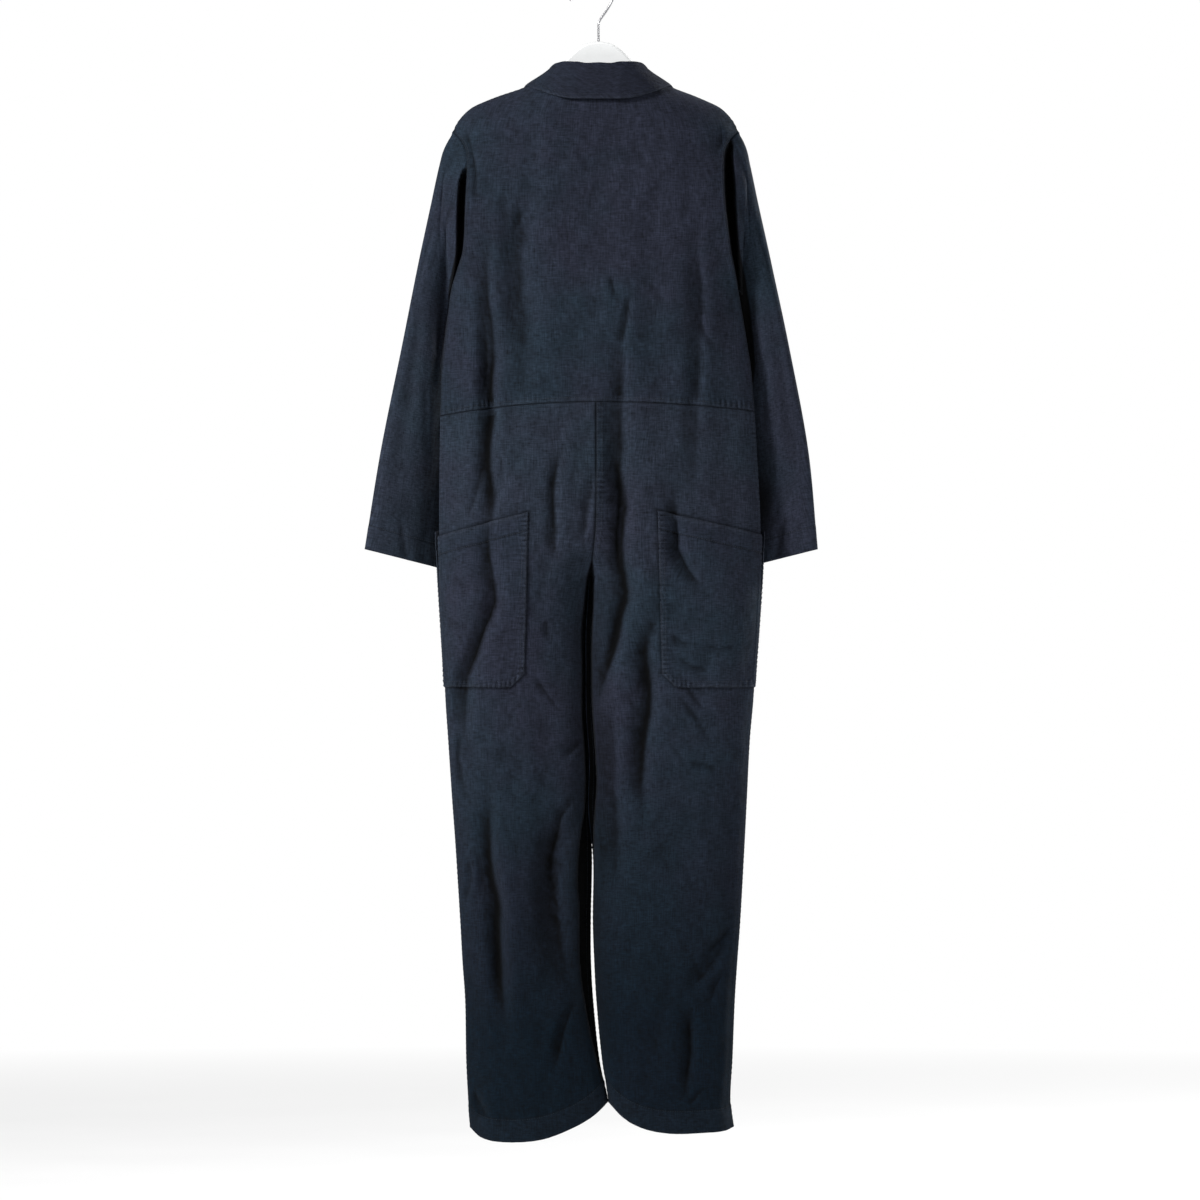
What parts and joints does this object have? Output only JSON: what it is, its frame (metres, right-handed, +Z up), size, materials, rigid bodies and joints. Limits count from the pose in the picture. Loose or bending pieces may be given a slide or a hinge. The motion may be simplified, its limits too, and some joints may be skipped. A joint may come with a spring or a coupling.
{
  "type": "jumpsuit on a hanger",
  "caption": "Long-sleeved work jumpsuit of dark woven cloth with collar, buttoned front, waist seam and patch pockets, hung on a shaped hanger with a wire hook",
  "frame": {"origin": "top of the inside of the hook's bow, where it rests on a rail", "axes": "+Z up, -Y the garment's buttoned front, +Y its back, +X the wearer's left"},
  "size_m": [0.6121, 0.1302, 1.5804],
  "materials": {
    "cloth": "matt plain-weave linen and cotton cloth with slubs, dyed navy",
    "button": "dark polyester, polished rim and dished middle",
    "hanger": "smooth white satin paint on wood",
    "wire": "drawn steel wire, plated and lightly worn"
  },
  "bodies": {
    "root": {"bodice_back": "cloth", "bodice_front_left": "cloth", "bodice_front_right": "cloth", "sleeve_left": "cloth", "sleeve_right": "cloth", "leg_back_left": "cloth", "leg_back_right": "cloth", "leg_front_left": "cloth", "leg_front_right": "cloth", "pocket_back_left": "cloth", "pocket_back_right": "cloth", "pocket_front_left": "cloth", "pocket_front_right": "cloth", "collar": "cloth", "placket": "cloth", "button_1": "button", "button_2": "button", "button_3": "button", "button_4": "button", "button_5": "button", "button_6": "button", "button_7": "button", "button_8": "button", "hanger_body": "hanger", "hanger_hook": "wire"}
  },
  "joints": []
}
